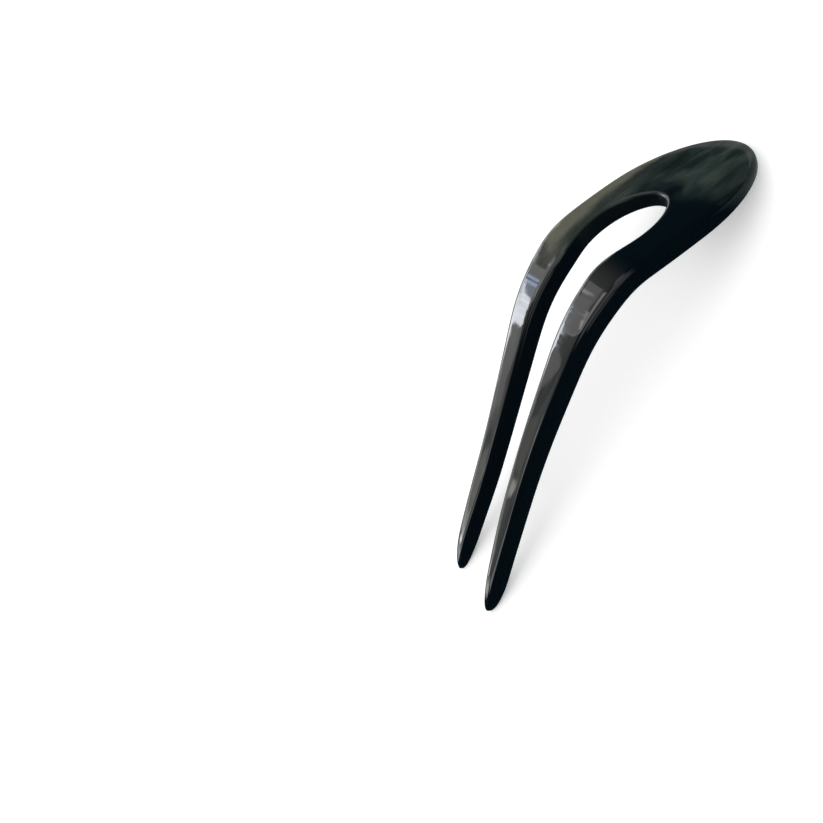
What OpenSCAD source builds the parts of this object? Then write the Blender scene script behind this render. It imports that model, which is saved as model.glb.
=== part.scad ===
// A two-pronged hair pin, sawn from one flat plate of horn and bent with heat at the knee.
// Places along the pin are counted from the knee, in the flat plate before it was bent:
// negative towards the crown, positive towards the tips.

/* [Head] */
// Length of the plate from the knee to the end of the crown
head_length = 41; // [36:0.5:48]
// Width of the crown at its widest
crown_width = 31; // [26:0.2:36]
// Length of the rounded end of the crown
crown_round = 21.2; // [18:0.2:24]
// Length of the crown's straight flanks, between its rounded end and the neck
crown_flank = 4.8; // [1:0.2:8]
// Thickness at the end of the crown
crown_thickness = 3; // [2.4:0.1:4]

/* [Slot] */
// Distance from the end of the crown to the end of the slot
slot_from_crown = 19.4; // [16:0.2:21]
// Length of the rounded end of the slot
slot_round = 9.8; // [6:0.2:11]
// Width of the slot at its widest, in the head
slot_width = 14.6; // [10:0.2:16]
// Width of the gap at the knee
knee_gap = 10.5; // [8:0.1:12]
// Width of the gap halfway down the prongs
prong_gap = 8.6; // [7:0.1:11]
// Width that the gap would open to at the ends of the prongs
tip_gap = 12.6; // [11:0.1:13]

/* [Prongs] */
// Length of the plate from the knee to the tips
prong_length = 76.5; // [70:0.5:90]
// Width over both prongs, below the knee
prong_spread = 20.8; // [19:0.1:23]
// Thickness at the knee
knee_thickness = 4.4; // [3.8:0.1:5]
// Thickness of the prongs before they narrow to their tips
prong_thickness = 3.9; // [3.2:0.1:4.4]
// Length of the stretch where a prong narrows to its tip, seen from the front
tip_length = 10; // [7:0.5:12]
// Length of the stretch where a prong thins to its tip, seen from the side
tip_taper = 12; // [9:0.5:15]
// Thickness of the very tip
tip_thickness = 0.5; // [0.4:0.1:1.4]
// Distance between the two tips
tip_distance = 15.6; // [14:0.1:17]

/* [Bend] */
// Angle of the bend just above the knee, towards the crown
upper_bend = 24; // [10:0.5:35]
// Angle of the bend just below the knee, towards the tips
lower_bend = 18.5; // [10:0.5:35]
// Angle by which the head curves on, between the knee and the crown
head_curve = 4.5; // [0:0.5:15]
// Angle by which the prongs curve on, between the knee and the tips
prong_curve = 3.5; // [0:0.5:10]

/* [Arrises] */
// Radius of the softened arrises, front and back
arris = 1.05; // [0.6:0.05:1.3]

/* [Hidden] */

horn_colour = "#20241f";

// Places along the pin
crown_start = -head_length;
crown_shoulder = crown_start + crown_round;
slot_start = crown_start + slot_from_crown;
slot_shoulder = slot_start + slot_round;
tip_start = prong_length - tip_length;

// Share of the half thickness that an arris may take at most
arris_share = 0.95;

// Half width of the plate's outer edge
// [place along the pin, half width]
OUTER_EDGE = [
    [crown_shoulder, crown_width / 2],
    [crown_shoulder + crown_flank, crown_width / 2],
    [47, prong_spread / 2],
    [prong_length, prong_spread / 2]
];

// Half width of the slot and of the gap between the prongs
// [place along the pin, half width]
INNER_EDGE = [
    [slot_shoulder, slot_width / 2],
    [0, knee_gap / 2],
    [4, knee_gap / 2],
    [42, prong_gap / 2],
    [46, prong_gap / 2],
    [prong_length, tip_gap / 2]
];

// Thickness of the plate
// [place along the pin, thickness]
THICKNESS = [
    [crown_start, crown_thickness],
    [-8, knee_thickness],
    [10, knee_thickness],
    [prong_length, prong_thickness]
];

// The bends that make up the knee
// [angle, place of the middle, length]
KNEE_BENDS = [
    [upper_bend, -4, 11],
    [lower_bend, 8, 20.5]
];

// Share of a step that is done at s, from 0 to 1, starting and ending gently
function ease(s) = (1 - cos(180 * s)) / 2;

// Distance of place u into the stretch from a to b, as a share from 0 to 1
function share(u, a, b) = min(1, max(0, (u - a) / (b - a)));

function row_at(u, rows, i = 0) = i >= len(rows) - 2 || u < rows[i + 1][0] ? i : row_at(u, rows, i + 1);

// Value at place u of a table whose rows are joined by gentle steps
function eased(u, rows) =
    let (i = row_at(u, rows), a = rows[i], b = rows[i + 1])
    a[1] + (b[1] - a[1]) * ease(share(u, a[0], b[0]));

// Half width at place u of an elliptical end that reaches its full half width at the shoulder
function round_end(u, shoulder, length, half_width) =
    half_width * sqrt(max(0, 1 - pow((shoulder - u) / length, 2)));

// Share of its width or thickness that a prong keeps at place u
function tip_share(u, length) = sqrt(1 - pow(share(u, prong_length - length, prong_length), 2));

// Both edges of a prong close on its tip
function closed_on_tip(x, u) = tip_distance / 2 + (x - tip_distance / 2) * tip_share(u, tip_length);

function outer_edge(u) =
    let (x = u < crown_shoulder
        ? round_end(u, crown_shoulder, crown_round, crown_width / 2)
        : eased(u, OUTER_EDGE))
    closed_on_tip(x, u);

function inner_edge(u) =
    let (x = u < slot_shoulder
        ? round_end(u, slot_shoulder, slot_round, slot_width / 2)
        : eased(u, INNER_EDGE))
    closed_on_tip(x, u);

// Half the thickness at place u, before a prong thins to its tip
function full_half(u) = eased(u, THICKNESS) / 2;

// Share of that half thickness that is left at place u
least_share = tip_thickness / prong_thickness;
function thinning(u) = least_share + (1 - least_share) * tip_share(u, tip_taper);

// Places along the pin where the two edges have a point: a share of a turn apart on the round
// ends, and evenly spaced between them
crown_steps = 22;
slot_steps = 14;
prong_steps = 54;
tip_steps = 11;
crown_turn = acos(1 - slot_from_crown / crown_round);
CROWN_PLACES = [for (i = [0:crown_steps - 1])
    crown_start + crown_round * (1 - cos(crown_turn * i / crown_steps))];
SLOT_PLACES = [for (i = [0:slot_steps - 1])
    slot_start + slot_round * (1 - cos(90 * i / slot_steps))];
PRONG_PLACES = [for (i = [0:prong_steps - 1])
    slot_shoulder + (tip_start - slot_shoulder) * i / prong_steps];
TIP_PLACES = [for (i = [0:tip_steps])
    prong_length - tip_length * (1 - sin(90 * i / tip_steps))];
PLACES = concat(CROWN_PLACES, SLOT_PLACES, PRONG_PLACES, TIP_PLACES);

// The outline of the flat plate as one closed loop of [half width, place]: from the crown down the
// right outer edge to the tip, up the inner edge to the slot's end, and back along the left
tip_row = len(PLACES) - 1;
slot_row = crown_steps;
RIGHT = concat(
    [for (u = PLACES) [outer_edge(u), u]],
    [for (i = [tip_row - 1:-1:slot_row]) [inner_edge(PLACES[i]), PLACES[i]]]);
LOOP = concat(RIGHT, [for (i = [len(RIGHT) - 2:-1:1]) [-RIGHT[i][0], RIGHT[i][1]]]);
loop_size = len(LOOP);

function unit(v) = v / norm(v);

// Direction from the loop's point i into the plate
function inward(i) =
    let (p = LOOP[i], before = LOOP[(i + loop_size - 1) % loop_size], after = LOOP[(i + 1) % loop_size])
    let (along = unit(unit(p - before) + unit(after - p)))
    [-along[1], along[0]];
INWARD = [for (i = [0:loop_size - 1]) inward(i)];

// Layers of the edge, from the front face round the front arris to the side, and on to the back
// [angle on the arris, side that the layer is on]
ARRIS_LAYERS = concat([for (a = [90:-30:0]) [a, 1]], [for (a = [0:-30:-90]) [a, -1]]);
layer_count = len(ARRIS_LAYERS);

// The loop's point i at one layer, as [half width, place, height over the plate's middle]
function plate_point(i, layer) =
    let (u = LOOP[i][1], half = full_half(u) * thinning(u))
    let (r = min(arris, arris_share * half))
    let (flat = LOOP[i] + INWARD[i] * r * (1 - cos(layer[0])))
    [flat[0], flat[1], layer[1] * (half - r) + r * sin(layer[0])];

function sum_of(v, i = 0) = i == len(v) ? 0 : v[i] + sum_of(v, i + 1);

// Share of a knee bend that lies between place u and the tips
function bend_left(u, bend) = 1 - ease(share(u, bend[1] - bend[2] / 2, bend[1] + bend[2] / 2));

// Angle of the bent plate at place u, against the prongs where they leave the knee
function angle_at(u) =
    sum_of([for (bend = KNEE_BENDS) bend[0] * bend_left(u, bend)])
    + head_curve * max(0, -u / head_length)
    - prong_curve * max(0, u / prong_length);

// The middle line of the bent pin, seen from the side, on a fine grid of places
grid = 0.5;
margin = 1;
GRID = [for (u = [crown_start - margin:grid:prong_length + margin]) u];
function side_step(u) = grid * [-cos(angle_at(u)), sin(angle_at(u))];
MIDDLE = [for (i = 0, p = [0, 0]; i < len(GRID); p = p + side_step(GRID[i] + grid / 2), i = i + 1) p];
MIDDLE_Y = [for (i = [0:len(GRID) - 1]) [GRID[i], MIDDLE[i][0]]];
MIDDLE_Z = [for (i = [0:len(GRID) - 1]) [GRID[i], MIDDLE[i][1]]];

// A plate point, bent: x across, y away from the tips, z up with the prongs level at the knee
function bent(p) =
    let (a = angle_at(p[1]))
    [p[0], lookup(p[1], MIDDLE_Y) + sin(a) * p[2], lookup(p[1], MIDDLE_Z) + cos(a) * p[2]];
BENT = [for (layer = ARRIS_LAYERS, i = [0:loop_size - 1]) bent(plate_point(i, layer))];

// The pin lies on a table like an arch, on the end of its crown and on both tips
function turned(p, a) = [p[0], p[1] * cos(a) - p[2] * sin(a), p[1] * sin(a) + p[2] * cos(a)];

// The lowest of some points, as [y, z]
function lowest(points) =
    let (heights = [for (p = points) p[2]], least = min(heights))
    [points[search(least, heights)[0]][1], least];

knee_y = lookup(0, MIDDLE_Y);
CROWN_SIDE = [for (p = BENT) if (p[1] > knee_y) p];
TIP_SIDE = [for (p = BENT) if (p[1] <= knee_y) p];
first_turn = 14;
settling_rounds = 6;
function rest_turn(a = first_turn, i = 0) = i == settling_rounds ? a :
    let (crown = lowest([for (p = CROWN_SIDE) turned(p, a)]), tip = lowest([for (p = TIP_SIDE) turned(p, a)]))
    rest_turn(a + atan((tip[1] - crown[1]) / (crown[0] - tip[0])), i + 1);
rest_angle = rest_turn();
LAID = [for (p = BENT) turned(p, rest_angle)];

// The origin is on the table, under the middle of the pin's box
ORIGIN = let (ys = [for (p = LAID) p[1]], zs = [for (p = LAID) p[2]]) [0, (min(ys) + max(ys)) / 2, min(zs)];
POINTS = [for (p = LAID) p - ORIGIN];

// Numbers of the loop's points at row s of PLACES: on the right outer and inner edge, and the
// number of the point opposite
function outer_point(s) = s;
function inner_point(s) = 2 * tip_row - s;
function opposite(i) = (loop_size - i) % loop_size;

// Two triangles, or one where two neighbouring corners are the same point
function is_triangle(t) = t[0] != t[1] && t[1] != t[2] && t[2] != t[0];
function patch(a, b, c, d) = [for (t = [[a, b, c], [a, c, d]]) if (is_triangle(t)) t];
function mirrored(t) = [opposite(t[0]), opposite(t[2]), opposite(t[1])];
function joined(lists) = [for (list = lists) each list];

// The front face: strips across the crown, a fan round the slot's end, and strips down each prong
fan_rows = 3;
fan_row = slot_row - fan_rows;
slot_end = inner_point(slot_row);
CROWN_STRIPS = joined([for (s = [0:fan_row - 1])
    patch(outer_point(s), outer_point(s + 1), opposite(outer_point(s + 1)), opposite(outer_point(s)))]);
RIGHT_FAN = [for (s = [fan_row:slot_row - 1]) [outer_point(s), outer_point(s + 1), slot_end]];
RIGHT_STRIPS = joined([for (s = [slot_row:tip_row - 1])
    patch(outer_point(s), outer_point(s + 1), inner_point(s + 1), inner_point(s))]);
RIGHT_FACE = concat(RIGHT_FAN, RIGHT_STRIPS);
FRONT_FACE = concat(
    CROWN_STRIPS,
    [[opposite(fan_row), fan_row, slot_end]],
    RIGHT_FACE,
    [for (t = RIGHT_FACE) mirrored(t)]);

back_offset = (layer_count - 1) * loop_size;
BACK_FACE = [for (t = FRONT_FACE) [t[0] + back_offset, t[2] + back_offset, t[1] + back_offset]];

// The edge: one band of patches between each two layers
function band(layer) = joined([for (i = [0:loop_size - 1])
    let (a = layer * loop_size, b = a + loop_size, next = (i + 1) % loop_size)
    patch(a + i, b + i, b + next, a + next)]);
EDGE = joined([for (layer = [0:layer_count - 2]) band(layer)]);
FACES = concat(FRONT_FACE, EDGE, BACK_FACE);

module hair_fork() {
    color(horn_colour) polyhedron(points = POINTS, faces = FACES, convexity = 6);
}

hair_fork();
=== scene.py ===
# %% [markdown]
# # A two-pronged hair pin of dark horn
# The pin is one piece: a flat plate of horn, sawn to a fork, bent with heat at the knee, filed and
# polished. The notebook follows the maker. It draws the flat plate, gives it its thickness,
# softens its arrises, shapes the tips, bends it, and then finishes and lights it.

# %% Load the frame
import math
import bpy
import bmesh
from mathutils import Matrix, Quaternion, Vector, noise


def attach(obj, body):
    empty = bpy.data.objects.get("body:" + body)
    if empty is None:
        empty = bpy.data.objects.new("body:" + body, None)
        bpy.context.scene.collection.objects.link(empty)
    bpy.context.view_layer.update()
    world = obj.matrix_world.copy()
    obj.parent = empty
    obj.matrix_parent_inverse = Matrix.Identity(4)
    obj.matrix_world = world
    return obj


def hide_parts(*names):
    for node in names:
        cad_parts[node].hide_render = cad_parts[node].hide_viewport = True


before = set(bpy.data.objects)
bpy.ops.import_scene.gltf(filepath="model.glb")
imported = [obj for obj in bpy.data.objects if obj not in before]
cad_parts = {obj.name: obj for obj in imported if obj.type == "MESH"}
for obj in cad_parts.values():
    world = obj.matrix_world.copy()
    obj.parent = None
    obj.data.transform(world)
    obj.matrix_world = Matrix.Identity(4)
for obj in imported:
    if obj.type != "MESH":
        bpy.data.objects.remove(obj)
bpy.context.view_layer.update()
MM = 0.001
print("nodes:", sorted(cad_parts))

# %% [markdown]
# ## Sizes
# The sizes of the pin are in millimetres. A place along it is counted from the knee, in the flat
# plate: negative towards the crown, positive towards the tips. The sizes could be read off the
# solid, but these are the ones that the solid was made from, so the new mesh lies where it lies.

# %% Sizes of the plate
HEAD_LENGTH = 41
CROWN_WIDTH = 31
CROWN_ROUND = 21.2
CROWN_FLANK = 4.8
CROWN_THICKNESS = 3
SLOT_FROM_CROWN = 19.4
SLOT_ROUND = 9.8
SLOT_WIDTH = 14.6
KNEE_GAP = 10.5
PRONG_GAP = 8.6
TIP_GAP = 12.6
PRONG_LENGTH = 76.5
PRONG_SPREAD = 20.8
KNEE_THICKNESS = 4.4
PRONG_THICKNESS = 3.9
TIP_LENGTH = 10
TIP_TAPER = 12
TIP_THICKNESS = 0.5
TIP_DISTANCE = 15.6
ARRIS = 1.05

crown_start = -HEAD_LENGTH
crown_shoulder = crown_start + CROWN_ROUND
slot_shoulder = crown_start + SLOT_FROM_CROWN + SLOT_ROUND
tip_start = PRONG_LENGTH - TIP_LENGTH

# A row of a table holds a place along the pin, and the half width or the thickness there
OUTER_EDGE = [
    (crown_shoulder, CROWN_WIDTH / 2),
    (crown_shoulder + CROWN_FLANK, CROWN_WIDTH / 2),
    (47, PRONG_SPREAD / 2),
    (PRONG_LENGTH, PRONG_SPREAD / 2),
]
INNER_EDGE = [
    (slot_shoulder, SLOT_WIDTH / 2),
    (0, KNEE_GAP / 2),
    (4, KNEE_GAP / 2),
    (42, PRONG_GAP / 2),
    (46, PRONG_GAP / 2),
    (PRONG_LENGTH, TIP_GAP / 2),
]
THICKNESS = [
    (crown_start, CROWN_THICKNESS),
    (-8, KNEE_THICKNESS),
    (10, KNEE_THICKNESS),
    (PRONG_LENGTH, PRONG_THICKNESS),
]
print("plate length in mm:", HEAD_LENGTH + PRONG_LENGTH)

# %% [markdown]
# ## Gentle steps
# A hand-filed outline has no corners. Straight lines would leave one at each row of a table, and a
# spline could swing past a row. So the rows are joined by half a cosine wave, which leaves one
# row level and arrives at the next one level.

# %% Helpers for gentle steps
def ease(s):
    """A share from 0 to 1, made level at both ends."""
    return (1 - math.cos(math.pi * s)) / 2


def share(u, a, b):
    """How far u lies on the way from a to b, from 0 to 1."""
    return min(1, max(0, (u - a) / (b - a)))


def eased(u, rows):
    """The value of a table at the place u."""
    for (a, low), (b, high) in zip(rows, rows[1:]):
        if u < b:
            break
    return low + (high - low) * ease(share(u, a, b))


print("edges at the knee in mm:", round(eased(0, INNER_EDGE), 2), round(eased(0, OUTER_EDGE), 2))

# %% [markdown]
# ## The flat plate
# Seen flat, the fork is a band that runs round its slot like a hairpin bend. Its outline could be
# filled as one face, but that gives long thin triangles, which show as dimples in a polish. So it
# is modelled as one strip: a grid whose one side follows the slot and whose other side follows
# the outer edge. Its first row lies on the middle line of the crown, its last row at the end of a
# prong. One half is made, and mirrored.

# %% Rows of the strip
FAN_ROWS = 18
SHOULDER_ROW = 14
KNEE_STEP = 1.2
PRONG_STEP = 3
KNEE_END = 22
TIP_ROWS = 11


def fan_row(i):
    """Inner and outer point of a row that fans out from the round end of the slot."""
    turn = math.radians(90 * i / FAN_ROWS)
    inner = Vector((SLOT_WIDTH / 2 * math.sin(turn), slot_shoulder - SLOT_ROUND * math.cos(turn)))
    if i < SHOULDER_ROW:
        turn = math.radians(90 * i / SHOULDER_ROW)
        u = crown_shoulder - CROWN_ROUND * math.cos(turn)
        outer = Vector((CROWN_WIDTH / 2 * math.sin(turn), u))
    else:
        along = (i - SHOULDER_ROW) / (FAN_ROWS - SHOULDER_ROW)
        u = crown_shoulder + (slot_shoulder - crown_shoulder) * along
        outer = Vector((eased(u, OUTER_EDGE), u))
    return inner, outer


def straight_row(u):
    """Inner and outer point of a row straight across an arm or a prong."""
    return Vector((eased(u, INNER_EDGE), u)), Vector((eased(u, OUTER_EDGE), u))


def even(a, b, step):
    """Places from a up to b, without b, about a step apart."""
    count = round((b - a) / step)
    return [a + (b - a) * i / count for i in range(count)]


tip_turns = [math.pi / 2 * i / TIP_ROWS for i in range(TIP_ROWS + 1)]
places = even(slot_shoulder, KNEE_END, KNEE_STEP) + even(KNEE_END, tip_start, PRONG_STEP)
places += [PRONG_LENGTH - TIP_LENGTH * (1 - math.sin(turn)) for turn in tip_turns]
rows = [fan_row(i) for i in range(FAN_ROWS)] + [straight_row(u) for u in places]
print("rows of the strip:", len(rows))

# %% The strip
EDGE_STRIP = 2.2
EDGE_SHARE = 0.46
COLUMNS = 4
SAME_PLACE = 0.001


def across(row, column):
    """A point of a row. The first and last strips keep one width, unless the row is too narrow."""
    inner, outer = rows[row]
    width = (outer - inner).length
    edge = min(EDGE_STRIP, EDGE_SHARE * width)
    distance = (0, edge, width / 2, width - edge, width)[column]
    return inner.lerp(outer, distance / width)


bm = bmesh.new()
bmesh.ops.create_grid(bm, x_segments=COLUMNS, y_segments=len(rows) - 1, size=1)
for v in bm.verts:
    column = round((v.co.x + 1) / 2 * COLUMNS)
    row = round((v.co.y + 1) / 2 * (len(rows) - 1))
    x, u = across(row, column)
    v.co = (x, u, 0)
bmesh.ops.mirror(bm, geom=bm.verts[:] + bm.edges[:] + bm.faces[:], axis="X", merge_dist=SAME_PLACE)
bmesh.ops.remove_doubles(bm, verts=bm.verts[:], dist=SAME_PLACE)
print("faces of the flat plate:", len(bm.faces))

# %% [markdown]
# ## Thickness
# The plate is thickest at the knee, where it is strained most. A solidify modifier would give it
# one thickness all over, so the flat face is extruded instead, and each vertex gets a height of
# its own. The ends of the prongs stay open here, because the tips are drawn together later. A
# buffing wheel takes a little more along the outer edge, so the faces fall away there; on the pin
# this shows as a soft band of light.

# %% Thickness
EDGE_FALL = 0.07

extruded = bmesh.ops.extrude_face_region(bm, geom=bm.faces[:], use_keep_orig=True)
front = {v for v in extruded["geom"] if isinstance(v, bmesh.types.BMVert)}
for v in bm.verts:
    half = eased(v.co.y, THICKNESS) / 2
    place = Vector((abs(v.co.x), v.co.y))
    if any((place - outer).length < SAME_PLACE for inner, outer in rows):
        half -= EDGE_FALL
    v.co.z = half if v in front else -half
ends = [f for f in bm.faces if all(v.co.y > PRONG_LENGTH - SAME_PLACE for v in f.verts)]
bmesh.ops.delete(bm, geom=ends, context="FACES_ONLY")
bmesh.ops.recalc_face_normals(bm, faces=bm.faces[:])
print("end faces left out:", len(ends))

# %% [markdown]
# ## Arrises
# The arrises, the long edges between a face and a side, are rounded with a bevel, as the maker
# rounds them with a file and a strip of abrasive cloth. Without it, the subdivision that comes
# later would round the whole section to an oval. An arris is known by the slopes of its two
# faces: one lies nearly flat, the other stands nearly upright.

# %% Arrises
ARRIS_STEPS = 3
UPRIGHT = 0.3
LEVEL = 0.7


def is_arris(edge):
    """Whether an edge lies between a level face and an upright one."""
    if len(edge.link_faces) != 2:
        return False
    slopes = sorted(abs(f.normal.z) for f in edge.link_faces)
    return slopes[0] < UPRIGHT and slopes[1] > LEVEL


arrises = [e for e in bm.edges if is_arris(e)]
bmesh.ops.bevel(
    bm, geom=arrises, offset=ARRIS, offset_type="OFFSET", segments=ARRIS_STEPS, profile=0.5,
    affect="EDGES", clamp_overlap=False, material=-1)
print("arris edges rounded:", len(arrises), "faces now:", len(bm.faces))

# %% [markdown]
# ## Tips
# A tip is filed like a spear: both edges close on a point, seen from the front, and the plate
# thins, seen from the side. Straight tapers would end in a needle. Both follow a quarter of an
# ellipse instead, so the very tip is small and round, and kind to the scalp.

# %% Tips
TIP_MERGE = 0.005


def tip_share(u, length):
    """The share of its size that the tip still has at u, if it closes over this length."""
    return math.sqrt(max(0, 1 - share(u, PRONG_LENGTH - length, PRONG_LENGTH) ** 2))


least_share = TIP_THICKNESS / PRONG_THICKNESS
for v in bm.verts:
    x, u, w = v.co
    middle = math.copysign(TIP_DISTANCE / 2, x)
    thinning = least_share + (1 - least_share) * tip_share(u, TIP_TAPER)
    if u > tip_start:
        x = middle + (x - middle) * tip_share(u, TIP_LENGTH)
    v.co = (x, u, w * thinning)
bmesh.ops.remove_doubles(bm, verts=bm.verts[:], dist=TIP_MERGE)
bmesh.ops.dissolve_degenerate(bm, edges=bm.edges[:], dist=SAME_PLACE)
loose_edges = [e for e in bm.edges if not e.link_faces]
bmesh.ops.delete(bm, geom=loose_edges, context="EDGES")
# The fall along the outer edge leaves the two sides of a tip 0.01 mm out of step where they meet.
# That is too far for them to merge, so a few edges stay open there. Both sides lie on one line, so
# no gap shows.
open_edges = [e for e in bm.edges if len(e.link_faces) != 2]
print("open edges after the tips closed:", len(open_edges))

# %% [markdown]
# ## Hand-finished faces
# Filing and polishing by hand leave a face that is not quite flat. A slow wave of a few
# hundredths of a millimetre is enough to make the mirror images on it wander. A bump could do
# that in the render alone; moved vertices are in the mesh too. The flat place of each vertex is
# kept as an attribute, so that the streaks of the horn can follow the bend: across and along in
# millimetres, and the height as a share, from -1 on the back to 1 on the front.

# %% Waves of the hand-finished faces
WAVE_HEIGHT = 0.05
WAVE_LENGTH = 13
WAVE_WIDTH = 5

plate_layer = bm.verts.layers.float_vector.new("plate")
for v in bm.verts:
    x, u, w = v.co
    v[plate_layer] = (x, u, 2 * w / eased(u, THICKNESS))
    wave = noise.noise(Vector((x / WAVE_WIDTH, u / WAVE_LENGTH, w)))
    v.co.z += WAVE_HEIGHT * wave * tip_share(u, TIP_LENGTH)
print("vertices with a plate place:", len(bm.verts))

# %% [markdown]
# ## The bend
# A bend modifier would turn the whole plate by one angle, but a pin bent by hand over heat has
# two bends at its knee and a slow curve in its head and prongs. So the middle line of the plate
# is walked in small steps, each with the angle that the bends and the curve have halfway along
# it. Each vertex then moves to the middle line at its place, and out along the line's normal by
# its height.

# %% Bend
# Angle in degrees, place of the middle, length
KNEE_BENDS = [(24, -4, 11), (18.5, 8, 20.5)]
HEAD_CURVE = 4.5
PRONG_CURVE = 3.5
WALK_STEP = 0.5
MARGIN_STEPS = 2


def angle_at(u):
    """Angle of the plate at u, in radians."""
    bends = 0
    for angle, at, length in KNEE_BENDS:
        bends += angle * (1 - ease(share(u, at - length / 2, at + length / 2)))
    curve = HEAD_CURVE * max(0, -u / HEAD_LENGTH) - PRONG_CURVE * max(0, u / PRONG_LENGTH)
    return math.radians(bends + curve)


middle_line = [Vector((0, 0))]
line_start = crown_start - MARGIN_STEPS * WALK_STEP
for i in range(round((HEAD_LENGTH + PRONG_LENGTH) / WALK_STEP) + 2 * MARGIN_STEPS):
    angle = angle_at(line_start + i * WALK_STEP + WALK_STEP / 2)
    middle_line.append(middle_line[-1] + WALK_STEP * Vector((-math.cos(angle), math.sin(angle))))


def middle_at(u):
    """Where the middle of the flat plate at u comes to lie on the bent line."""
    steps = (u - line_start) / WALK_STEP
    i = int(steps)
    return middle_line[i].lerp(middle_line[i + 1], steps - i)


for v in bm.verts:
    x, u, w = v.co
    angle = angle_at(u)
    y, z = middle_at(u)
    v.co = (x, y + math.sin(angle) * w, z + math.cos(angle) * w)
bent = math.degrees(angle_at(crown_start) - angle_at(PRONG_LENGTH))
print("angle between crown and tips in degrees:", round(bent, 1))

# %% [markdown]
# ## Laid on the table
# The pin lies like an arch on the end of its crown and on both tips. A simulation could drop it
# there, but an arch with two feet needs only one angle. So it is turned until both ends are
# equally low, and then moved so that the origin is on the table under its middle.

# %% Lay it down
SETTLING_ROUNDS = 6

knee_y = middle_at(0).x
for _ in range(SETTLING_ROUNDS):
    crown = min((v.co for v in bm.verts if v.co.y > knee_y), key=lambda c: c.z).copy()
    tip = min((v.co for v in bm.verts if v.co.y <= knee_y), key=lambda c: c.z).copy()
    turn = math.atan2(tip.z - crown.z, crown.y - tip.y)
    bmesh.ops.rotate(bm, verts=bm.verts[:], cent=(0, 0, 0), matrix=Matrix.Rotation(turn, 3, "X"))
    knee_y *= math.cos(turn)
ys = [v.co.y for v in bm.verts]
zs = [v.co.z for v in bm.verts]
print("turned until both ends are equally low; height in mm:", round(max(zs) - min(zs), 2))
bmesh.ops.translate(bm, verts=bm.verts[:], vec=(0, -(min(ys) + max(ys)) / 2, -min(zs)))
bmesh.ops.scale(bm, verts=bm.verts[:], vec=(MM, MM, MM))
bmesh.ops.recalc_face_normals(bm, faces=bm.faces[:])

# %% [markdown]
# The mesh becomes one object. A subdivision rounds its polygons; the rows lie close enough for it
# to keep the shape. It stands in for the solid, and rides on the only body of the frame.

# %% The finished piece
SMOOTH_LEVELS = 2

mesh = bpy.data.meshes.new("horn_fork")
bm.to_mesh(mesh)
bm.free()
pin = bpy.data.objects.new("horn_fork", mesh)
bpy.context.scene.collection.objects.link(pin)
mesh.polygons.foreach_set("use_smooth", [True] * len(mesh.polygons))
smooth = pin.modifiers.new("smooth", "SUBSURF")
smooth.levels = SMOOTH_LEVELS
smooth.render_levels = SMOOTH_LEVELS
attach(pin, "root")
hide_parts("hair_fork")
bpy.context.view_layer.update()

# %% [markdown]
# ## Horn
# The pin is dark horn: keratin, the stuff of hair and nails. It was sawn, bent with heat, filed,
# scraped and then rubbed to a mirror polish. To the eye this gives two things at once: a nearly
# black body with cloudy layers in it, and on top of that the clear mirror images of its
# surroundings. Colours are written as they look on a screen, and one function makes them linear.

# %% Colours
# The curve of sRGB: a straight foot up to its end, and a power above it
FOOT_END = 0.04045
FOOT_SLOPE = 12.92
CURVE_OFFSET = 0.055
CURVE_POWER = 2.4


def linear_part(part):
    """One part of an sRGB colour, from 0 to 1, as a share of white light."""
    if part <= FOOT_END:
        return part / FOOT_SLOPE
    return ((part + CURVE_OFFSET) / (1 + CURVE_OFFSET)) ** CURVE_POWER


def linear(hex_colour):
    """An sRGB hex colour as linear red, green, blue and alpha."""
    return [linear_part(int(hex_colour[i:i + 2], 16) / 255) for i in (1, 3, 5)] + [1]


print("middle grey on a screen is this share of white light:", round(linear("#808080")[0], 3))

# %% [markdown]
# ## Places on the horn
# Horn grows in thin layers, and its pigment lies in them unevenly. In this pin the crown is a
# cloudy grey green, the left arm grows paler towards a cream band along its outer rim, and the
# right arm and both prongs are almost black. A picture of horn could be wrapped round the pin, but
# its patches would not lie where this pin has them. So each colour gets a border in millimetres.
# The borders drift with the layers: the place that they are read at is pushed about by a slow
# noise first.

# %% Places that drift with the layers
LAYER_DRIFT = (8, 16, 0)
DRIFT_SIZE = 9
NOISE_MIDDLE = (0.5, 0.5, 0.5)


def add(tree, kind, inputs=(), **settings):
    """Adds a node, sets its properties, and links or sets its inputs by name or number."""
    node = tree.nodes.new(kind)
    for name, value in settings.items():
        setattr(node, name, value)
    for name, value in dict(inputs).items():
        if isinstance(value, bpy.types.NodeSocket):
            tree.links.new(value, node.inputs[name])
        else:
            node.inputs[name].default_value = value
    return node


horn = bpy.data.materials.new("polished_dark_horn")
horn.use_nodes = True
tree = horn.node_tree
tree.nodes.clear()
plate = add(tree, "ShaderNodeAttribute", attribute_name="plate").outputs["Vector"]
drift = add(tree, "ShaderNodeTexNoise", {"Vector": plate, "Scale": 1 / DRIFT_SIZE, "Detail": 3.0})
drift = add(tree, "ShaderNodeVectorMath", {
    0: drift.outputs["Color"], 1: NOISE_MIDDLE}, operation="SUBTRACT")
place = add(tree, "ShaderNodeVectorMath", {
    0: drift.outputs["Vector"], 1: LAYER_DRIFT, 2: plate}, operation="MULTIPLY_ADD").outputs["Vector"]
place_parts = add(tree, "ShaderNodeSeparateXYZ", {"Vector": place})
over = place_parts.outputs["X"]
along = place_parts.outputs["Y"]
print("nodes that find a place:", len(tree.nodes))

# %% [markdown]
# ## Clouds and streaks
# Two noises are drawn out along the pin, as the fibres of horn are. One makes clouds a few
# millimetres wide, the other makes narrow dark streaks. A wave texture could make streaks too, but
# they would be too even for a thing that grew. Both are scaled from millimetres. A noise goes on
# for ever, so each is moved to a place where it has a dark streak down the middle of the crown,
# as this pin has.

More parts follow.
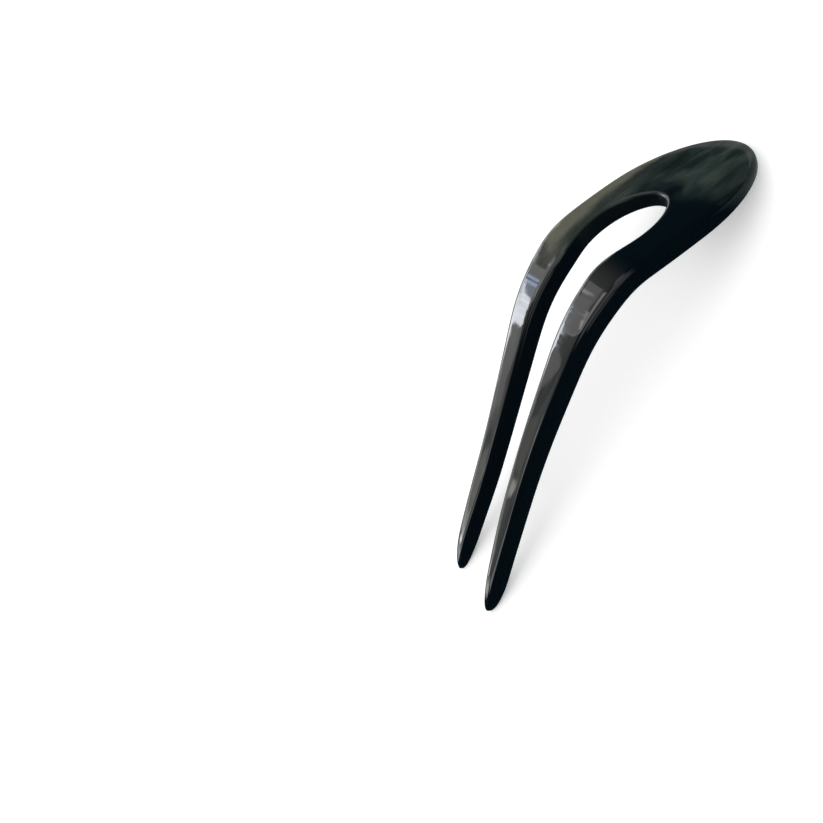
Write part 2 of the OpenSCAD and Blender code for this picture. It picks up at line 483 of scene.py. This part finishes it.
# %% Clouds and streaks
CLOUD = (3.2, 8)
CLOUD_PLACE = (62.75, 57.95, 0)
STREAK = (1.8, 11)
STREAK_PLACE = (27.7, 58.35, 0)

clouds = add(tree, "ShaderNodeMapping", {
    "Vector": plate, "Location": CLOUD_PLACE, "Scale": (1 / CLOUD[0], 1 / CLOUD[1], 1 / CLOUD[0])})
clouds = add(tree, "ShaderNodeTexNoise", {
    "Vector": clouds.outputs["Vector"], "Scale": 1.0, "Detail": 4.0}).outputs["Fac"]
streaks = add(tree, "ShaderNodeMapping", {
    "Vector": plate, "Location": STREAK_PLACE, "Scale": (1 / STREAK[0], 1 / STREAK[1], 1 / STREAK[0])})
streaks = add(tree, "ShaderNodeTexNoise", {
    "Vector": streaks.outputs["Vector"], "Scale": 1.0, "Detail": 2.0}).outputs["Fac"]
print("nodes with clouds and streaks:", len(tree.nodes))

# %% [markdown]
# ## Shares of the colours
# Each colour has a share between 0 and 1 at each place. It grows over a border some millimetres
# wide, from the first to the second place of a pair. One colour ramp could do this in a single
# direction; separate shares can each run their own way. First come the shares along and across the
# pin, read at the places that drift. The crown and the cream rim have slanting borders, so their
# shares are read along a slanting direction.

# %% Shares of the crown and the cream rim
CROWN_SLANT = (-0.15, -1, 0)
CROWN_BORDER = (20.8, 28)
RIM_SLANT = (1, -0.12, 0)
RIM_BORDER = (-7.6, -10.8)
RIM_MOST = 0.88
RIM_END = (1.5, -3.5)

crown_along = add(tree, "ShaderNodeVectorMath", {0: place, 1: CROWN_SLANT}, operation="DOT_PRODUCT")
crown_share = add(tree, "ShaderNodeMapRange", {
    "Value": crown_along.outputs["Value"], "From Min": CROWN_BORDER[0], "From Max": CROWN_BORDER[1]},
    interpolation_type="SMOOTHSTEP").outputs["Result"]
rim = add(tree, "ShaderNodeVectorMath", {0: place, 1: RIM_SLANT}, operation="DOT_PRODUCT")
rim = add(tree, "ShaderNodeMapRange", {
    "Value": rim.outputs["Value"], "From Min": RIM_BORDER[0], "From Max": RIM_BORDER[1],
    "To Max": RIM_MOST}, interpolation_type="SMOOTHSTEP").outputs["Result"]
rim_end = add(tree, "ShaderNodeMapRange", {
    "Value": along, "From Min": RIM_END[0], "From Max": RIM_END[1]},
    interpolation_type="SMOOTHSTEP").outputs["Result"]
cream_share = add(tree, "ShaderNodeMath", {0: rim, 1: rim_end}, operation="MULTIPLY").outputs["Value"]
print("nodes with the crown and the rim:", len(tree.nodes))

# %% Shares of the left and the right side
LEFT_BORDER = (-2, -8)
GREY_BORDER = (-16, -8)
BROWN_BORDER = (-7.5, -11)
BROWN_MOST = 0.6
RIGHT_FADE = (2, 12)
RIGHT_LEAST = 0.45

left_share = add(tree, "ShaderNodeMapRange", {
    "Value": over, "From Min": LEFT_BORDER[0], "From Max": LEFT_BORDER[1]},
    interpolation_type="SMOOTHSTEP").outputs["Result"]
grey = add(tree, "ShaderNodeMapRange", {
    "Value": along, "From Min": GREY_BORDER[0], "From Max": GREY_BORDER[1]},
    interpolation_type="SMOOTHSTEP").outputs["Result"]
grey_share = add(tree, "ShaderNodeMath", {0: left_share, 1: grey}, operation="MULTIPLY").outputs["Value"]
brown_share = add(tree, "ShaderNodeMapRange", {
    "Value": over, "From Min": BROWN_BORDER[0], "From Max": BROWN_BORDER[1],
    "To Max": BROWN_MOST}).outputs["Result"]
right_share = add(tree, "ShaderNodeMapRange", {
    "Value": over, "From Min": RIGHT_FADE[0], "From Max": RIGHT_FADE[1],
    "To Min": 1, "To Max": RIGHT_LEAST}).outputs["Result"]
print("nodes with both sides:", len(tree.nodes))

# %% [markdown]
# The pale layers end where the knee bends. They are kept near the two faces, and the sides are
# left black: that black is painted shade, as the sides get less light than the faces. These two
# shares are read at the true place, so that their borders stay put.

# %% Shares at the knee and near the faces
KNEE_BORDER = (7.5, 0)
FACE_BORDER = (0.7, 0.93)

true_place = add(tree, "ShaderNodeSeparateXYZ", {"Vector": plate})
height = add(tree, "ShaderNodeMath", {0: true_place.outputs["Z"]}, operation="ABSOLUTE")
knee_share = add(tree, "ShaderNodeMapRange", {
    "Value": true_place.outputs["Y"], "From Min": KNEE_BORDER[0], "From Max": KNEE_BORDER[1]},
    interpolation_type="SMOOTHSTEP").outputs["Result"]
# Painted shade: the pale colour fades out towards the sides, which stay black as if in shade.
pale_faces_shaded_sides = add(tree, "ShaderNodeMapRange", {
    "Value": height.outputs["Value"], "From Min": FACE_BORDER[0], "From Max": FACE_BORDER[1]},
    interpolation_type="SMOOTHSTEP").outputs["Result"]
print("nodes with these two:", len(tree.nodes))

# %% Shares put together
STREAK_BORDER = (0.5, 0.68)
STREAK_MOST = 0.7

arm = add(tree, "ShaderNodeMath", {0: left_share, 1: knee_share}, operation="MULTIPLY")
pale = add(tree, "ShaderNodeMath", {0: crown_share, 1: arm.outputs["Value"]}, operation="MAXIMUM")
pale = add(tree, "ShaderNodeMath", {0: pale.outputs["Value"], 1: right_share}, operation="MULTIPLY")
pale = add(tree, "ShaderNodeMath", {0: pale.outputs["Value"], 1: pale_faces_shaded_sides}, operation="MULTIPLY")
pale_share = pale.outputs["Value"]
dark_share = add(tree, "ShaderNodeMapRange", {
    "Value": streaks, "From Min": STREAK_BORDER[0], "From Max": STREAK_BORDER[1],
    "To Max": STREAK_MOST}).outputs["Result"]
print("nodes with all shares:", len(tree.nodes))

# %% [markdown]
# ## Colours of the horn
# The pale layers are mixed first, with the dark streaks in them, and then laid into the black.

# %% Colours of the horn
NIGHT = "#03080b"
# Place in the noise of the clouds, colour there
CLOUD_TONES = [(0.32, "#18201e"), (0.5, "#28322e"), (0.68, "#3a433b")]
BROWN = "#2c2a27"
KNEE_GREY = "#2e332e"
CREAM = "#626356"
STREAK_BROWN = "#12150d"

tones = add(tree, "ShaderNodeValToRGB", {"Fac": clouds})
middle_position = CLOUD_TONES[1][0]
tones.color_ramp.elements.new(middle_position)
for element, (position, colour) in zip(tones.color_ramp.elements, CLOUD_TONES):
    element.position = position
    element.color = linear(colour)
layers = tones.outputs["Color"]
# A mix node takes its share at input 0 and its colours at 6 and 7, and gives the mix at output 2
for layer_share, colour in [
        (brown_share, BROWN), (grey_share, KNEE_GREY), (dark_share, STREAK_BROWN), (cream_share, CREAM)]:
    layers = add(tree, "ShaderNodeMix", {
        0: layer_share, 6: layers, 7: linear(colour)}, data_type="RGBA").outputs[2]
horn_colour = add(tree, "ShaderNodeMix", {
    0: pale_share, 6: linear(NIGHT), 7: layers}, data_type="RGBA").outputs[2]
print("nodes with the colours:", len(tree.nodes))

# %% [markdown]
# ## Polish
# The horn is rubbed with finer and finer powder until it mirrors. A clear coat could mirror too,
# but there is no varnish on it, so the gloss is the shader's own. Keratin bends light a little
# more than window glass does, so the index is 1.55. What the polish leaves are faint lines along
# the pin, far finer than a pixel; they are drawn as lines 0.3 mm wide, so that they show at all.
# Some patches shine a little less than others, as after buffing by hand.

# %% Lines and hazy patches
LINE = (0.3, 14)
LINE_HEIGHT = 0.004
LINE_STRENGTH = 0.5
HAZE = (2.5, 18)
HAZE_BORDER = (0.3, 0.7)
SMOOTHEST = 0.03
HAZIEST = 0.08

lines = add(tree, "ShaderNodeMapping", {
    "Vector": plate, "Scale": (1 / LINE[0], 1 / LINE[1], 1 / LINE[0])})
lines = add(tree, "ShaderNodeTexNoise", {
    "Vector": lines.outputs["Vector"], "Scale": 1.0, "Detail": 2.0})
bump = add(tree, "ShaderNodeBump", {
    "Strength": LINE_STRENGTH, "Distance": LINE_HEIGHT * MM, "Height": lines.outputs["Fac"]})
haze = add(tree, "ShaderNodeMapping", {
    "Vector": plate, "Scale": (1 / HAZE[0], 1 / HAZE[1], 1 / HAZE[0])})
haze = add(tree, "ShaderNodeTexNoise", {
    "Vector": haze.outputs["Vector"], "Scale": 1.0, "Detail": 2.0})
haze = add(tree, "ShaderNodeMapRange", {
    "Value": haze.outputs["Fac"], "From Min": HAZE_BORDER[0], "From Max": HAZE_BORDER[1],
    "To Min": SMOOTHEST, "To Max": HAZIEST}).outputs["Result"]
print("nodes with lines and haze:", len(tree.nodes))

# %% [markdown]
# A buffing wheel doesn't reach into the round end of the slot, which keeps the dull look of the
# file. A second material could show that, but its border would have to follow an edge of the
# mesh. So the roughness changes instead. How near a place is to that end is read as a length, in
# half widths and half lengths of the round end: 1 on its edge, more on the face around it.

# %% Dull end of the slot
SLOT_DULLNESS = 0.3
DULL_BORDER = (1.18, 1.02)
SLOT_SCALE = (2 / SLOT_WIDTH, 1 / SLOT_ROUND, 0)

slot = add(tree, "ShaderNodeMapping", {
    "Vector": plate, "Location": (0, -slot_shoulder * SLOT_SCALE[1], 0), "Scale": SLOT_SCALE})
slot = add(tree, "ShaderNodeVectorMath", {0: slot.outputs["Vector"]}, operation="LENGTH")
slot = add(tree, "ShaderNodeMapRange", {
    "Value": slot.outputs["Value"], "From Min": DULL_BORDER[0], "From Max": DULL_BORDER[1],
    "To Max": SLOT_DULLNESS}).outputs["Result"]
roughness = add(tree, "ShaderNodeMath", {0: haze, 1: slot}, operation="MAXIMUM").outputs["Value"]
print("nodes with the dull end:", len(tree.nodes))

# %% The shader
HORN_INDEX = 1.55

shader = add(tree, "ShaderNodeBsdfPrincipled", {
    "Base Color": horn_colour, "Roughness": roughness, "IOR": HORN_INDEX,
    "Normal": bump.outputs["Normal"]})
add(tree, "ShaderNodeOutputMaterial", {"Surface": shader.outputs["BSDF"]})
mesh.materials.append(horn)
print("material:", horn.name, "with", len(tree.nodes), "nodes")

# %% [markdown]
# ## Floor
# A plain pale floor of white paper. Paper that is only lit would look grey here, with a heavy
# shadow. So it glows a little, like paper on a light box. It is left out of the mirror images,
# because the dark sides are the look of this pin; what they mirror instead is set further down,
# with the world.

# %% Floor
# Half the width of the floor in metres
FLOOR_HALF = 40
FLOOR_GLOW = 0.28
PAPER_ROUGHNESS = 1.0
PAPER = "#f7f8f7"
WHITE = "#ffffff"

bm = bmesh.new()
bmesh.ops.create_grid(bm, x_segments=1, y_segments=1, size=FLOOR_HALF)
floor_mesh = bpy.data.meshes.new("floor")
bm.to_mesh(floor_mesh)
bm.free()
floor = bpy.data.objects.new("floor", floor_mesh)
bpy.context.scene.collection.objects.link(floor)
paper = bpy.data.materials.new("pale_paper")
paper.use_nodes = True
paper_shader = paper.node_tree.nodes["Principled BSDF"]
paper_shader.inputs["Base Color"].default_value = linear(PAPER)
paper_shader.inputs["Roughness"].default_value = PAPER_ROUGHNESS
paper_shader.inputs["Emission Color"].default_value = linear(WHITE)
paper_shader.inputs["Emission Strength"].default_value = FLOOR_GLOW
floor_mesh.materials.append(paper)
floor.visible_glossy = False
print("floor is", 2 * FLOOR_HALF, "m wide")

# %% [markdown]
# ## Soft light all round
# A white dome gives the floor and the horn an even light. Only the mirror images see another
# world: a dark room. In it are a pale floor low down behind the pin, the dimmer table top to one
# side of it, a soft glow round the shelf beside the window, and a wide soft light overhead. These
# four fade out slowly, which a softbox with its hard edge can't do. So each has a share between 0
# and 1, read from the direction of sight: from its height, or from its cosine with the middle of
# the thing that is seen.

# %% Shares of the room
BEHIND = (-0.998, -0.07, 0)
BEHIND_BORDER = (0.9, 0.93)
LOW_BORDER = (0.12, 0.04)
TABLE_SIDE = (-0.35, 0.94, 0)
TABLE_BORDER = (0.1, 0.45)
DOWN_BORDER = (-0.03, -0.25)
SHELF = (-0.814, -0.014, 0.581)
SHELF_BORDER = (0.86, 1.0)
SHELF_FALL = 3.0
OVERHEAD_BORDER = (0.83, 0.93)

world = bpy.data.worlds.new("studio")
bpy.context.scene.world = world
world.use_nodes = True
tree = world.node_tree
tree.nodes.clear()
sight = add(tree, "ShaderNodeTexCoord").outputs["Generated"]
sight_height = add(tree, "ShaderNodeSeparateXYZ", {"Vector": sight}).outputs["Z"]
behind = add(tree, "ShaderNodeVectorMath", {0: sight, 1: BEHIND}, operation="DOT_PRODUCT")
behind = add(tree, "ShaderNodeMapRange", {
    "Value": behind.outputs["Value"], "From Min": BEHIND_BORDER[0], "From Max": BEHIND_BORDER[1]})
low_down = add(tree, "ShaderNodeMapRange", {
    "Value": sight_height, "From Min": LOW_BORDER[0], "From Max": LOW_BORDER[1]})
floor_share = add(tree, "ShaderNodeMath", {
    0: behind.outputs["Result"], 1: low_down.outputs["Result"]}, operation="MULTIPLY").outputs["Value"]
table = add(tree, "ShaderNodeVectorMath", {0: sight, 1: TABLE_SIDE}, operation="DOT_PRODUCT")
table = add(tree, "ShaderNodeMapRange", {
    "Value": table.outputs["Value"], "From Min": TABLE_BORDER[0], "From Max": TABLE_BORDER[1]})
down = add(tree, "ShaderNodeMapRange", {
    "Value": sight_height, "From Min": DOWN_BORDER[0], "From Max": DOWN_BORDER[1]})
table_share = add(tree, "ShaderNodeMath", {
    0: table.outputs["Result"], 1: down.outputs["Result"]}, operation="MULTIPLY").outputs["Value"]
shelf = add(tree, "ShaderNodeVectorMath", {0: sight, 1: SHELF}, operation="DOT_PRODUCT")
shelf = add(tree, "ShaderNodeMapRange", {
    "Value": shelf.outputs["Value"], "From Min": SHELF_BORDER[0], "From Max": SHELF_BORDER[1]})
shelf_share = add(tree, "ShaderNodeMath", {
    0: shelf.outputs["Result"], 1: SHELF_FALL}, operation="POWER").outputs["Value"]
overhead_share = add(tree, "ShaderNodeMapRange", {
    "Value": sight_height, "From Min": OVERHEAD_BORDER[0], "From Max": OVERHEAD_BORDER[1]},
    interpolation_type="SMOOTHSTEP").outputs["Result"]
print("nodes of the room:", len(tree.nodes))

# %% [markdown]
# The room is mixed from these shares. Its brightness is that of light, not of paint, so these
# four colours are already linear.

# %% The room and the dome
DOME = 1.06
ROOM = (0.010, 0.026, 0.045, 1)
TABLE_TOP = (0.26, 0.32, 0.30, 1)
LOW_PALE = (0.95, 1.0, 0.98, 1)
SHELF_GLOW = (0.40, 0.39, 0.37, 1)
OVERHEAD = (0.8, 0.8, 0.8, 1)

room = ROOM
for room_share, colour in [
        (table_share, TABLE_TOP), (floor_share, LOW_PALE), (shelf_share, SHELF_GLOW),
        (overhead_share, OVERHEAD)]:
    room = add(tree, "ShaderNodeMix", {0: room_share, 6: room, 7: colour}, data_type="RGBA").outputs[2]
room = add(tree, "ShaderNodeBackground", {"Color": room})
dome = add(tree, "ShaderNodeBackground", {"Color": linear(WHITE), "Strength": DOME})
path = add(tree, "ShaderNodeLightPath")
mixed = add(tree, "ShaderNodeMixShader", {
    0: path.outputs["Is Glossy Ray"], 1: dome.outputs["Background"], 2: room.outputs["Background"]})
add(tree, "ShaderNodeOutputWorld", {"Surface": mixed.outputs["Shader"]})
print("world:", world.name)

# %% [markdown]
# ## Cards and softboxes
# Polished horn is seen by what it mirrors. The knee turns through some forty degrees, so it sweeps
# the room from low behind the pin to high above it: a window, the blind over it, and the wall with
# its furniture. A panorama could show all that at once. Here each thing is built of flat, upright
# softboxes, because they can be moved and dimmed one by one. Together they give the horn its
# bright panes and grey patches. The ones named after the studio stand on the other sides, so that
# the polish shows from there too. All of them light only the mirror images.

# %% A softbox
# Distance of the softboxes in metres
FAR = 20


def towards(azimuth, elevation):
    """A direction. Azimuth is from +X towards +Y, elevation from the floor, both in degrees."""
    a = math.radians(azimuth)
    e = math.radians(elevation)
    return Vector((math.cos(e) * math.cos(a), math.cos(e) * math.sin(a), math.sin(e)))


def softbox(name, azimuths, elevations, radiance, colour):
    """An upright lamp that the pin sees between two azimuths and two elevations."""
    elevation = sum(elevations) / 2
    out = towards(sum(azimuths) / 2, elevation)
    wide = math.radians(azimuths[1] - azimuths[0]) * math.cos(math.radians(elevation))
    high = math.radians(elevations[1] - elevations[0])
    light = bpy.data.lights.new(name, "AREA")
    light.shape = "RECTANGLE"
    light.size = 2 * FAR * math.tan(wide / 2)
    light.size_y = 2 * FAR * math.tan(high / 2)
    # A flat lamp gives off its radiance times its area times pi
    light.energy = radiance * light.size * light.size_y * math.pi
    light.color = linear(colour)[:3]
    lamp = bpy.data.objects.new(name, light)
    bpy.context.scene.collection.objects.link(lamp)
    lamp.location = out * FAR
    lamp.rotation_mode = "QUATERNION"
    lamp.rotation_quaternion = (-out).to_track_quat("-Z", "Y")
    lamp.visible_camera = False
    lamp.visible_diffuse = False


print("straight up is", [round(v, 1) for v in towards(0, 90)])

# %% All softboxes
# Name, azimuths, elevations, radiance, colour; where two overlap, their light adds up
SOFTBOXES = [
    # The ceiling, and a card low on one side
    ("ceiling", (177, 203), (41, 50), 1.7, "#ffffff"),
    ("back_card", (118, 152), (-6, 8.6), 0.32, "#fff8f0"),
    # The corner beside the window, with a shelf
    ("low_wall", (160, 184), (5, 23.5), 1.2, "#fbfffa"),
    ("low_corner", (171, 184), (23.5, 27), 1.2, "#fbfffa"),
    ("low_light", (178, 184), (12, 27), 1.8, "#fbfffa"),
    ("corner_wall", (181.5, 184.3), (27.5, 32.5), 0.6, "#fbfffa"),
    ("corner_post", (178.5, 184.3), (27.5, 31.7), 0.6, "#fbfffa"),
    ("corner_foot", (175.5, 184.3), (27.5, 30.6), 0.6, "#fbfffa"),
    ("shelf", (177, 184.3), (34.8, 39.5), 0.8, "#fcfffa"),
    ("shelf_edge", (181.6, 182.7), (34.6, 36.8), 2.4, "#f0f8ff"),
    ("shelf_end", (181.2, 182.2), (36.8, 38), 1.3, "#f0f8ff"),
    # The blind and the window
    ("blind_gap", (192.8, 198), (37.4, 40.5), 2.6, "#f4f8ff"),
    ("blind_gap_end", (188.2, 192.8), (38.4, 40.5), 2.0, "#f4f8ff"),
    ("blind_left", (184.3, 190.1), (28.5, 39), 1.0, "#fffffa"),
    ("blind_right", (190.6, 200.8), (28.5, 39), 1.1, "#fffffa"),
    ("blind_seam", (190.1, 190.6), (34.2, 39), 1.0, "#fffffa"),
    ("pane_left", (188.8, 190.1), (28, 34.3), 3.4, "#bccfff"),
    ("pane_right", (190.6, 192.2), (28, 34.0), 3.4, "#bccfff"),
    ("sill", (192.2, 196.8), (28, 33.4), 0.9, "#a8cfff"),
    ("low_blind", (184, 188), (17, 28.5), 2.2, "#f4f8ff"),
    ("low_pane", (188, 196.8), (16, 27), 4.5, "#f4f8ff"),
    ("pane_corner", (190.6, 192.6), (27, 30.3), 2.5, "#f4f8ff"),
    ("window_corner", (192.6, 196.8), (27, 30.3), 5.5, "#f4f8ff"),
    ("window_left", (196.8, 199), (16, 31.2), 6.7, "#f4f8ff"),
    ("window_middle", (199, 201.4), (16, 30.6), 6.7, "#f4f8ff"),
    ("window_right", (201.4, 203.4), (15, 28.6), 7.2, "#f4f8ff"),
    ("window_end", (203.4, 205.3), (14, 27.4), 7.2, "#f4f8ff"),
    ("window_foot", (205.3, 206.3), (10, 21.6), 5.5, "#f4f8ff"),
    # The wall on the other side of the window, with a door, a curtain and a cupboard
    ("wall", (200.8, 228), (6, 45), 0.38, "#fffcf2"),
    ("door_top", (205.6, 210.5), (22.6, 27.6), 0.6, "#fffff9"),
    ("door", (205.6, 212.6), (18, 22.6), 0.6, "#fffff9"),
    ("door_post", (212.6, 213.4), (17.5, 22), 0.27, "#fffff9"),
    ("upper_wall", (212.6, 228), (24, 32), 0.2, "#fffcf2"),
    ("skirting", (207.2, 211.4), (16.4, 19.3), 0.6, "#fffff9"),
    ("skirting_end", (211.4, 213), (14.8, 17.6), 0.4, "#fffff9"),
    ("curtain", (213.6, 217.3), (19.7, 24), 0.3, "#fffcf0"),
    ("curtain_edge", (216.9, 217.9), (17.8, 19.2), 1.8, "#fffff8"),
    ("curtain_tail", (217.4, 218.4), (19.2, 20.3), 1.1, "#fffff8"),
    ("curtain_fold", (218, 220.4), (20.3, 23), 0.25, "#fffff8"),
    ("cupboard", (214.5, 216.6), (13.5, 19), 0.5, "#fffcf0"),
    ("cupboard_door", (216.6, 219.3), (13.5, 17.8), 0.5, "#fffcf0"),
    ("cupboard_trim", (217.8, 219.6), (16.8, 17.9), 0.35, "#fffcf0"),
    ("cupboard_side", (219.3, 220.6), (15.4, 17.6), 0.7, "#fffcf0"),
    # A lamp, a low window, a chair and a high shelf
    ("lamp_glow", (220.6, 222.2), (14.4, 16.9), 0.9, "#fafffa"),
    ("low_window", (206, 218), (5, 14), 1.2, "#fafffc"),
    ("lamp_shade", (218.7, 220.4), (12, 15.4), 1.1, "#fafffa"),
    ("lamp_base", (217.8, 220), (10.5, 14), 1.0, "#fafffa"),
    ("lamp_neck", (220.2, 222), (12, 14.4), 2.2, "#fafffe"),
    ("lamp", (220, 222.3), (9, 12), 5.2, "#fafffe"),
    ("chair", (223.9, 228), (6, 13.3), 0.9, "#fffffc"),
    ("chair_seat", (224.8, 228), (4, 10.8), 0.9, "#fffffc"),
    ("chair_back", (227, 234), (15, 30.5), 1.3, "#fafffa"),
    ("high_shelf", (219.5, 227), (28, 31.5), 1.4, "#fafffa"),
    # The studio on the other sides, and the edge of the table
    ("studio_east", (0, 26), (33, 50), 1.0, "#ffffff"),
    ("studio_west", (148, 166), (44, 58), 0.9, "#ffffff"),
    ("studio_south_east", (334, 356), (22, 42), 0.8, "#ffffff"),
    ("table", (218.5, 225), (-2, 9.3), 1.2, "#fafffa"),
]
for row in SOFTBOXES:
    softbox(*row)
print("softboxes:", len(SOFTBOXES))

# %% [markdown]
# ## Camera
# The place and the aim are in metres, and were found by laying the outline of the solid over the
# outline in the photograph. The camera looks down on the pin from its right side. The pin hangs
# down across the photograph, but it has to lie level here, so it is the camera that is rolled, by
# some seventy degrees. The focal length is in pixels.

# %% Camera
PHOTO_SIZE = 823
FOCAL_PIXELS = 918.4
CAMERA_PLACE = Vector((0.1502, 0.0304, 0.1277))
CAMERA_AIM = Vector((0, -0.0198, 0.0380))
CAMERA_ROLL = -70.48
SENSOR = 36
NEAR_CLIP = 0.01
FAR_CLIP = 100

camera_data = bpy.data.cameras.new("camera")
camera_data.sensor_width = SENSOR
camera_data.lens = FOCAL_PIXELS / PHOTO_SIZE * SENSOR
camera_data.clip_start = NEAR_CLIP
camera_data.clip_end = FAR_CLIP
camera = bpy.data.objects.new("camera", camera_data)
bpy.context.scene.collection.objects.link(camera)
camera.location = CAMERA_PLACE
camera.rotation_mode = "QUATERNION"
aimed = (CAMERA_AIM - CAMERA_PLACE).to_track_quat("-Z", "Y")
camera.rotation_quaternion = aimed @ Quaternion((0, 0, 1), math.radians(CAMERA_ROLL))
bpy.context.scene.camera = camera
bpy.context.scene.view_settings.view_transform = "Standard"
print("lens in mm:", round(camera_data.lens, 1))
